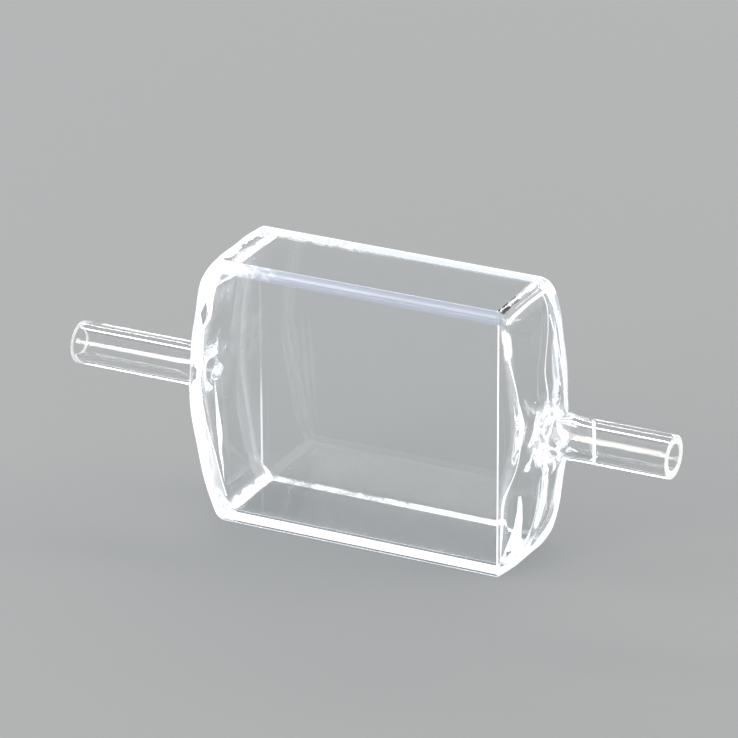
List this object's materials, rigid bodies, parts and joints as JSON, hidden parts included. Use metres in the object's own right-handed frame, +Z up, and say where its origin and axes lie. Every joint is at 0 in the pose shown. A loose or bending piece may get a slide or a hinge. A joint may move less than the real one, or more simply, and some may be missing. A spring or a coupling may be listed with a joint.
{
  "type": "flow-through cuvette",
  "caption": "Clear quartz flow-through cuvette: a flat tank with parallel windows, domed ends and a straight tube stub on each end for liquid to pass through.",
  "frame": {"origin": "on the surface the cuvette stands on, under the tube axis, midway between the two tube ends", "axes": "+X along the tubes from inlet to outlet, +Y through the windows from front to back, +Z up"},
  "size_m": [0.0744, 0.0126, 0.032],
  "materials": {
    "fused_quartz": "fire-polished, with flat polished windows"
  },
  "bodies": {
    "root": {"flow_cell": "fused_quartz"}
  },
  "joints": []
}
